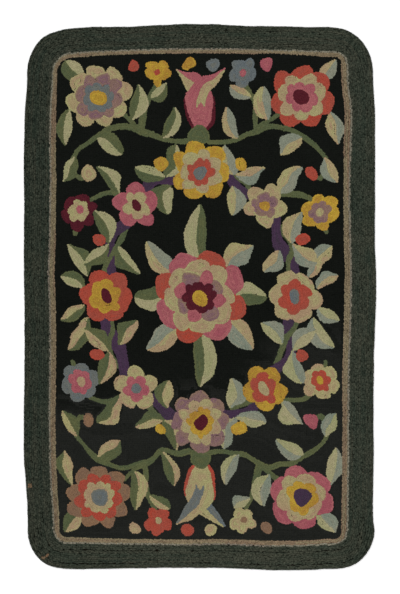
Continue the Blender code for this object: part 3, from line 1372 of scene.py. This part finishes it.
class PlantingTree:
    """The Geometry Nodes tree that copies a form to each point, turned and sized as the point says."""

    def __init__(self) -> None:
        """Builds the tree."""
        self.tree = bpy.data.node_groups.new("plant_loops", "GeometryNodeTree")
        self.sockets = {
            name: self.tree.interface.new_socket(name=name, in_out="INPUT", socket_type=kind).identifier
            for name, kind in (
                ("Places", "NodeSocketGeometry"),
                ("Form", "NodeSocketObject"),
                ("Height", "NodeSocketFloat"),
                ("Lean", "NodeSocketFloat"),
                ("Unevenness", "NodeSocketFloat"),
                ("Seed", "NodeSocketInt"),
                ("Wool", "NodeSocketMaterial"),
            )
        }
        self.tree.interface.new_socket(name="Pile", in_out="OUTPUT", socket_type="NodeSocketGeometry")
        graph = Graph(self.tree)
        given = graph.add(Node.TREE_INPUT)
        seed = graph.signal(given, "Seed")
        lean = graph.signal(given, "Lean")
        uneven = graph.signal(given, "Unevenness")
        leans = {
            "X": self._chance(graph, seed, 1) * lean,
            "Y": self._chance(graph, seed, 2) * lean,
            "Z": self._own(graph, "turn") + self._chance(graph, seed, 3) * lean,
        }
        rotation = graph.add(Node.COMBINE, None, leans)
        rise = graph.signal(given, "Height") * (1 + self._chance(graph, seed, 4) * uneven)
        sizes = {"X": self._own(graph, "length"), "Y": self._own(graph, "width"), "Z": rise}
        size = graph.add(Node.COMBINE, None, sizes)
        shape = {"Object": graph.signal(given, "Form")}
        form = graph.add(Node.OBJECT_SHAPE, {"transform_space": "ORIGINAL"}, shape)
        copies = {
            "Points": graph.signal(given, "Places"),
            "Instance": graph.signal(form, "Geometry"),
            "Rotation": graph.signal(rotation),
            "Scale": graph.signal(size),
        }
        pile = graph.signal(graph.add(Node.PLANT, None, copies))
        for kind in (Node.REALIZE, Node.SHADE_SMOOTH):
            pile = graph.signal(graph.add(kind, None, {"Geometry": pile}))
        wool = {"Geometry": pile, "Material": graph.signal(given, "Wool")}
        dressed = graph.add(Node.SET_MATERIAL, None, wool)
        graph.add(Node.TREE_OUTPUT, None, {"Pile": graph.signal(dressed)})

    @staticmethod
    def _chance(graph: Graph, seed: Signal, which: int) -> Signal:
        """A chance number from -1 to 1 for each point."""
        sockets = {"Min": -1.0, "Max": 1.0, "Seed": seed * 7 + which}
        node = graph.add(Node.RANDOM, {"data_type": "FLOAT"}, sockets)
        return Signal(graph, next(socket for socket in node.outputs if socket.enabled))

    @staticmethod
    def _own(graph: Graph, name: str) -> Signal:
        """A number that each point holds under that name."""
        return graph.signal(graph.add(Node.NAMED_VALUE, {"data_type": "FLOAT"}, {"Name": name}))

    def planted(
        self,
        name: str,
        points: bpy.types.Mesh,
        form: bpy.types.Object,
        values: dict[str, object],
    ) -> bpy.types.Object:
        """Runs the tree on a mesh of points.

        Args:
            name: The name of the piece.
            points: The points, with their own numbers.
            form: The form to copy.
            values: A value for each of the tree's other inputs.

        Returns:
            The piece as a plain mesh, with no modifier.
        """
        base = mesh_object(name + "_points", points)
        modifier = base.modifiers.new("planting", "NODES")
        modifier.node_group = self.tree
        for key, value in {"Form": form, **values}.items():
            modifier[self.sockets[key]] = value
        bpy.context.view_layer.update()
        graph = bpy.context.evaluated_depsgraph_get()
        mesh = bpy.data.meshes.new_from_object(
            base.evaluated_get(graph), preserve_all_data_layers=True, depsgraph=graph
        )
        mesh.name = name
        bpy.data.objects.remove(base)
        for spent in ("length", "width"):
            mesh.attributes.remove(mesh.attributes[spent])
        lay_flat_map(mesh)
        return mesh_object(name, mesh)


def lay_flat_map(mesh: bpy.types.Mesh) -> None:
    """Gives a mesh a map that is its own view from above, stretched to fill the square."""
    points = np.empty(len(mesh.vertices) * 3, np.float32)
    mesh.vertices.foreach_get("co", points)
    flat = points.reshape(-1, 3)[:, :2]
    low = flat.min(axis=0)
    share = (flat - low) / (flat.max(axis=0) - low)
    corners = np.empty(len(mesh.loops), np.int32)
    mesh.loops.foreach_get("vertex_index", corners)
    mesh.uv_layers.new(name="OFBake").data.foreach_set("uv", share[corners].ravel())


def points_mesh(
    name: str, loops: Loops, height: float | np.ndarray, numbers: dict[str, np.ndarray]
) -> bpy.types.Mesh:
    """A mesh of loose points for the planting tree.

    Args:
        name: The mesh's name.
        loops: Where the points are.
        height: How high they are, all alike or each its own.
        numbers: What each point holds: one number a point, or one colour.

    Returns:
        The mesh.
    """
    mesh = bpy.data.meshes.new(name)
    count = len(loops.places)
    mesh.vertices.add(count)
    flat = np.column_stack([loops.places, np.full(count, height)])
    mesh.vertices.foreach_set("co", flat.astype(np.float32).ravel())
    for key, value in numbers.items():
        coloured = value.ndim == 2
        kind, field_name = ("FLOAT_COLOR", "color") if coloured else ("FLOAT", "value")
        attribute = mesh.attributes.new(key, kind, "POINT")
        attribute.data.foreach_set(field_name, value.astype(np.float32).ravel())
    return mesh


@dataclass
class Pile:
    """All the wool of the rug: its loops on top, and their stitches underneath."""

    lines: RugLines
    border_rows: int = 13
    stripe_rows: int = 4
    seed: int = 11
    stitch_length: float = 0.80
    stitch_width: float = 0.42
    pieces: list[bpy.types.Object] = field(default_factory=list)

    def build(self) -> list[bpy.types.Object]:
        """Hooks the whole rug.

        Returns:
            The pieces, one for each wool and place.
        """
        rng = np.random.default_rng(self.seed)
        lines = self.lines
        border = Band(
            lines.edge, lines.stripe, self.border_rows, BORDER, BORDER, 0.0008, 0.0001, parted=(2, 9)
        ).hooked(rng)
        stripe = Band(
            lines.stripe, lines.field, self.stripe_rows, STRIPE, STRIPE_EDGE, 0.0007, 0.0010, 0.86, 0.86
        ).hooked(rng)
        chart = Chart(lines.field, sway=3.0, seed=self.seed)
        FieldPattern(chart).draw()
        field_loops = self._with_shaded_partings(self._faded(Hooking(chart, rng).hooked(), rng), rng)
        rim, worked = self._with_wear(border[0], Loops.joined(border[1:]))
        groups = [("loops_rim", rim), ("loops_border", worked), ("loops_stripe", Loops.joined(stripe))]
        groups += list(self._field_groups(field_loops))
        tree = PlantingTree()
        forms = {"loops_rim": RIM_LOOP, "loops_border": BAND_LOOP, "loops_stripe": BAND_LOOP}
        for name, loops in groups:
            self._plant(tree, name, loops, forms.get(name, FIELD_LOOP), rng)
        every = Loops.joined([loops for _, loops in groups])
        self._plant_stitches(tree, every)
        log.info("the rug has %d loops", len(every.turns))
        return self.pieces

    def _faded(self, loops: Loops, rng: np.random.Generator) -> Loops:
        """The black ground faded towards the near end, sooner on the right, and unevenly from strip to strip.

        Args:
            loops: The field's loops.
            rng: Where the chances come from.

        Returns:
            The same loops. A ground loop's strip number tells how faded it is, from -1 to 1.
        """
        black = loops.dyes == BLACK.value
        x, y = loops.places.T
        to_the_middle, to_the_right = (np.clip((x - start) / 0.16, 0, 1) for start in (-0.22, 0.08))
        onset = -0.240 + 0.030 * to_the_middle + 0.210 * to_the_right + 0.010 * np.sin(x * 37 + 1)
        run = 0.08 + 0.16 * to_the_right
        faded = np.clip((onset - y + 0.030 * loops.strips) / run, 0, 1)
        deepest = np.exp(-((y / 0.11) ** 2))
        share = 0.14 - 0.09 * deepest + 0.66 * faded * faded * (3 - 2 * faded)
        share += (0.02 + 0.13 * faded) * loops.strips + rng.normal(0, 0.02, len(black))
        loops.strips[black] = 2 * share[black] - 1
        loops.dyes[black & (share > 0.45)] = FADED.value
        return loops

    def _with_shaded_partings(self, loops: Loops, rng: np.random.Generator, share: float = 0.006) -> Loops:
        """The field with short partings where two rows of a light wool have drawn apart, the shade in each
        painted with a thin black loop.

        Args:
            loops: The field's loops.
            rng: Where the chances come from.
            share: How many of the light loops a gap starts at.

        Returns:
            The loops, and a thin black loop in each parting as painted shade.
        """
        light = np.isin(loops.dyes, [dye.value for dye in (CREAM, CELERY, GOLD, MAUVE)])
        starts = np.flatnonzero(light & (rng.random(len(light)) < share))
        gaps = []
        for start in starts.tolist():
            run = np.arange(start, min(start + int(rng.integers(2, 7)), len(light) - 1))
            steps = np.hypot(*(loops.places[run + 1] - loops.places[run]).T)
            kept = run[(loops.dyes[run] == loops.dyes[start]) & (steps < 1.6 * LOOP_PITCH)]
            # Painted shade: a thin black loop, at its darkest tone, stands in the parting.
            gap = loops.where(kept)
            aside = np.column_stack([-np.sin(gap.turns), np.cos(gap.turns)])
            gap.places += aside * rng.choice([-0.5, 0.5]) * ROW_PITCH
            gap.widths[:] = PARTING
            gap.strips[:] = -1.0
            gap.dyes[:] = BLACK.value
            gaps.append(gap)
        return Loops.joined([loops, *gaps])

    def _with_wear(self, rim: Loops, border: Loops) -> tuple[Loops, Loops]:
        """The border with a few loops worn down to a dull tan.

        Args:
            rim: The outermost row.
            border: The other rows.

        Returns:
            The same rows, with the worn loops redyed.
        """
        worn_spots = (
            (-0.4440, -0.4925, 0.0050),
            (-0.4100, -0.6835, 0.0032),
            (-0.4045, -0.6790, 0.0032),
            (-0.3990, -0.6745, 0.0032),
        )
        for loops in (rim, border):
            for x, y, reach in worn_spots:
                near = np.hypot(loops.places[:, 0] - x, loops.places[:, 1] - y) < reach
                loops.dyes[near] = WORN.value
        return rim, border

    def _field_groups(self, loops: Loops) -> Iterator[tuple[str, Loops]]:
        """The field's loops by wool, with the black ground in two, to keep each piece light."""
        for dye in Dye:
            chosen = loops.dyes == dye.value
            name = "loops_" + dye.name.lower()
            if dye is BLACK:
                far = loops.places[:, 1] > 0.22
                yield name + "_far", loops.where(chosen & far)
                yield name + "_near", loops.where(chosen & ~far)
            elif chosen.any():
                yield name, loops.where(chosen)

    def _plant(
        self, tree: PlantingTree, name: str, loops: Loops, form: LoopForm, rng: np.random.Generator
    ) -> None:
        """Makes one group of loops a piece for each wool in it."""
        shape = form.made()
        for number in np.unique(loops.dyes):
            dye = Dye(int(number))
            chosen = loops.where(loops.dyes == number)
            count = len(chosen.turns)
            own_name = name if number == loops.dyes[0] else f"{name}_{dye.name.lower()}"
            at_rim = name == "loops_rim"
            points = points_mesh(
                own_name,
                chosen,
                0.0003 if at_rim else CLOTH_TOP,
                {
                    "turn": chosen.turns,
                    "length": chosen.lengths * form.overlap_along,
                    "width": chosen.widths * form.overlap_across,
                    "strip": chosen.strips,
                    # Each loop's own tone plus painted light, lighter to the right and at the two ends.
                    "loop": self._unlikeness(count, rng) + self._painted_room_light(chosen.places),
                },
            )
            values = {
                "Height": PILE_TOP - (0.0009 if at_rim else CLOTH_TOP),
                "Lean": 0.03 if at_rim else 0.09,
                "Unevenness": 0.05,
                "Seed": int(number) + len(self.pieces) * 20,
                "Wool": wool_material(dye),
            }
            piece = tree.planted(own_name, points, shape, values)
            self.pieces.append(piece)
            log.info("%s: %d loops, %d faces", own_name, count, len(piece.data.polygons))
        bpy.data.objects.remove(shape)

    @staticmethod
    def _unlikeness(
        count: int, rng: np.random.Generator, worn: float = 0.015, worn_tone: float = -2.4
    ) -> np.ndarray:
        """How much lighter or darker each loop is than its neighbours, with a few worn and dark."""
        return np.where(rng.random(count) < worn, worn_tone, rng.normal(0, 1, count).clip(-2, 2))

    @staticmethod
    def _painted_room_light(places: np.ndarray, near_end: float = 1.1, far_end: float = 0.6) -> np.ndarray:
        """Painted light: how much lighter the wool is painted at each place, more to the right and at the two
        ends.
        """
        return 0.40 * places[:, 0] / 0.46 + at_ends(places) * np.where(places[:, 1] < 0, near_end, far_end)

    def _plant_stitches(self, tree: PlantingTree, loops: Loops) -> None:
        """Makes the underside's stitches one piece."""
        finishes = [WOOLS[Dye(number)] for number in loops.dyes.tolist()]
        first = np.array([finish.colour for finish in finishes])
        second = np.array([finish.second for finish in finishes])
        share = (0.5 + 0.5 * loops.strips)[:, None]
        colours = np.column_stack([first * (1 - share) + second * share, np.ones(len(first))])
        # Each stitch lies a hair higher or lower than its neighbours, so no two share a plane.
        heights = STITCH_HEIGHT + STITCH_SPREAD * (np.arange(len(loops.turns)) * 0.618 % 1)
        numbers = {
            "turn": loops.turns,
            "length": loops.lengths * self.stitch_length,
            "width": loops.widths * self.stitch_width,
            "dye": colours,
        }
        points = points_mesh("stitches_under", loops, heights, numbers)
        form = StitchForm().made()
        yarn = StitchFinish().material()
        values = {"Height": 0.0001, "Lean": 0.0, "Unevenness": 0.0, "Seed": 3, "Wool": yarn}
        piece = tree.planted("stitches_under", points, form, values)
        bpy.data.objects.remove(form)
        self.pieces.append(piece)
        log.info("%s: %d faces", piece.name, len(piece.data.polygons))


@cache
def wool_material(dye: Dye) -> bpy.types.Material:
    """The material of one wool, made once."""
    return WOOLS[dye].material()


@dataclass(frozen=True)
class GroundCloth:
    """The burlap that the loops are hooked through, with its hem turned at the rug's edge."""

    lines: RugLines
    inset: float = 0.0022
    corners: int = 240

    def build(self) -> bpy.types.Object:
        """Makes the cloth as one closed sheet.

        Returns:
            The sheet.
        """
        points = self.lines.edge.points(self.corners)
        shrink = 1 - self.inset / np.hypot(points[:, 0], points[:, 1])
        mesh = bpy.data.meshes.new("ground_cloth")
        sheet = bmesh.new()
        rings = []
        middle = (CLOTH_UNDERSIDE + CLOTH_TOP) / 2
        for height, draw_in in ((CLOTH_UNDERSIDE, 0.0006), (middle, 0.0), (CLOTH_TOP, 0.0006)):
            places = points * (shrink - draw_in)[:, None]
            rings.append([sheet.verts.new((x, y, height)) for x, y in places])
        for lower, upper in zip(rings, rings[1:]):
            for k in range(self.corners):
                following = (k + 1) % self.corners
                sheet.faces.new((lower[k], lower[following], upper[following], upper[k]))
        for ring, height in ((rings[0][::-1], CLOTH_UNDERSIDE), (rings[-1], CLOTH_TOP)):
            centre = sheet.verts.new((0, 0, height))
            for k in range(self.corners):
                sheet.faces.new((centre, ring[k], ring[(k + 1) % self.corners]))
        sheet.to_mesh(mesh)
        sheet.free()
        mesh.materials.append(BurlapFinish().material())
        made = mesh_object("ground_cloth", mesh)
        log.info("%s: %d faces", made.name, len(mesh.polygons))
        return made


@dataclass(frozen=True)
class Studio:
    """A plain pale floor, soft light from all round and above, and a camera straight over the rug."""

    picture_width: int = 400
    picture_height: int = 594
    rug_left_pixel: float = 24.0
    rug_right_pixel: float = 376.0
    rug_middle_row: float = 297.0
    camera_height: float = 4.0
    sensor: float = 36.0
    floor_size: float = 30.0

    def build(self) -> None:
        """Sets the studio up."""
        self._floor()
        self._lights()
        self._camera()
        bpy.context.scene.view_settings.view_transform = "Standard"
        log.info("studio: floor, light and camera")

    def _floor(self) -> None:
        """The floor, just under the rug."""
        half = self.floor_size / 2
        mesh = bpy.data.meshes.new("floor")
        corners = [(-half, -half, 0), (half, -half, 0), (half, half, 0), (-half, half, 0)]
        mesh.from_pydata(corners, [], [(0, 1, 2, 3)])
        mesh.materials.append(FloorFinish().material())
        mesh_object("floor", mesh)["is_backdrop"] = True

    def _lights(self) -> None:
        """Even light from the room, and a soft lamp from the far left."""
        world = bpy.data.worlds.new("studio")
        world.use_nodes = True
        background = world.node_tree.nodes["Background"]
        background.inputs["Color"].default_value = (1.0, 1.0, 1.0, 1.0)
        background.inputs["Strength"].default_value = 1.2
        bpy.context.scene.world = world
        lamp = bpy.data.lights.new("soft_lamp", "SUN")
        lamp.energy = 0.7
        lamp.angle = math.radians(25)
        made = bpy.data.objects.new("soft_lamp", lamp)
        made.rotation_euler = (math.radians(-35), math.radians(-30), 0)
        bpy.context.scene.collection.objects.link(made)

    def _camera(self) -> None:
        """The camera, framed as the picture is."""
        low, high = CAD_BOX
        metres_per_pixel = (high.x - low.x) / (self.rug_right_pixel - self.rug_left_pixel)
        rug_middle_column = (self.rug_left_pixel + self.rug_right_pixel) / 2
        camera = bpy.data.cameras.new("camera")
        camera.sensor_width = self.sensor
        camera.lens = self.sensor * self.camera_height / (metres_per_pixel * self.picture_height)
        made = bpy.data.objects.new("camera", camera)
        made.location = (
            (self.picture_width / 2 - rug_middle_column) * metres_per_pixel,
            (self.rug_middle_row - self.picture_height / 2) * metres_per_pixel,
            self.camera_height + PILE_TOP / 2,
        )
        bpy.context.scene.collection.objects.link(made)
        bpy.context.scene.camera = made


def dress() -> None:
    """Makes every piece and tells the frame how each belongs to the rug."""
    lines = RugLines.of_node("rug")
    areas = [line.area() for line in (lines.edge, lines.stripe, lines.field)]
    log.info("edge %.3f, stripe %.3f and field %.3f square metres", *areas)
    cloth = GroundCloth(lines).build()
    wool = Pile(lines).build()
    for piece in (cloth, *wool):
        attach(piece, "root")
        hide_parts("rug")
    lines.edge.area()


def write_sizes() -> None:
    """Gathers the solid's box and the dressed rug's box."""
    boxes = {"cad": CAD_BOX, "visual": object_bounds()}
    {name: [list(corner) for corner in box] for name, box in boxes.items()}


def main() -> None:
    """Builds the rug and its studio."""
    logging.basicConfig(level=logging.INFO, format="%(name)s: %(message)s", stream=sys.stdout)
    dress()
    Studio().build()
    write_sizes()


if __name__ == "__main__":
    main()
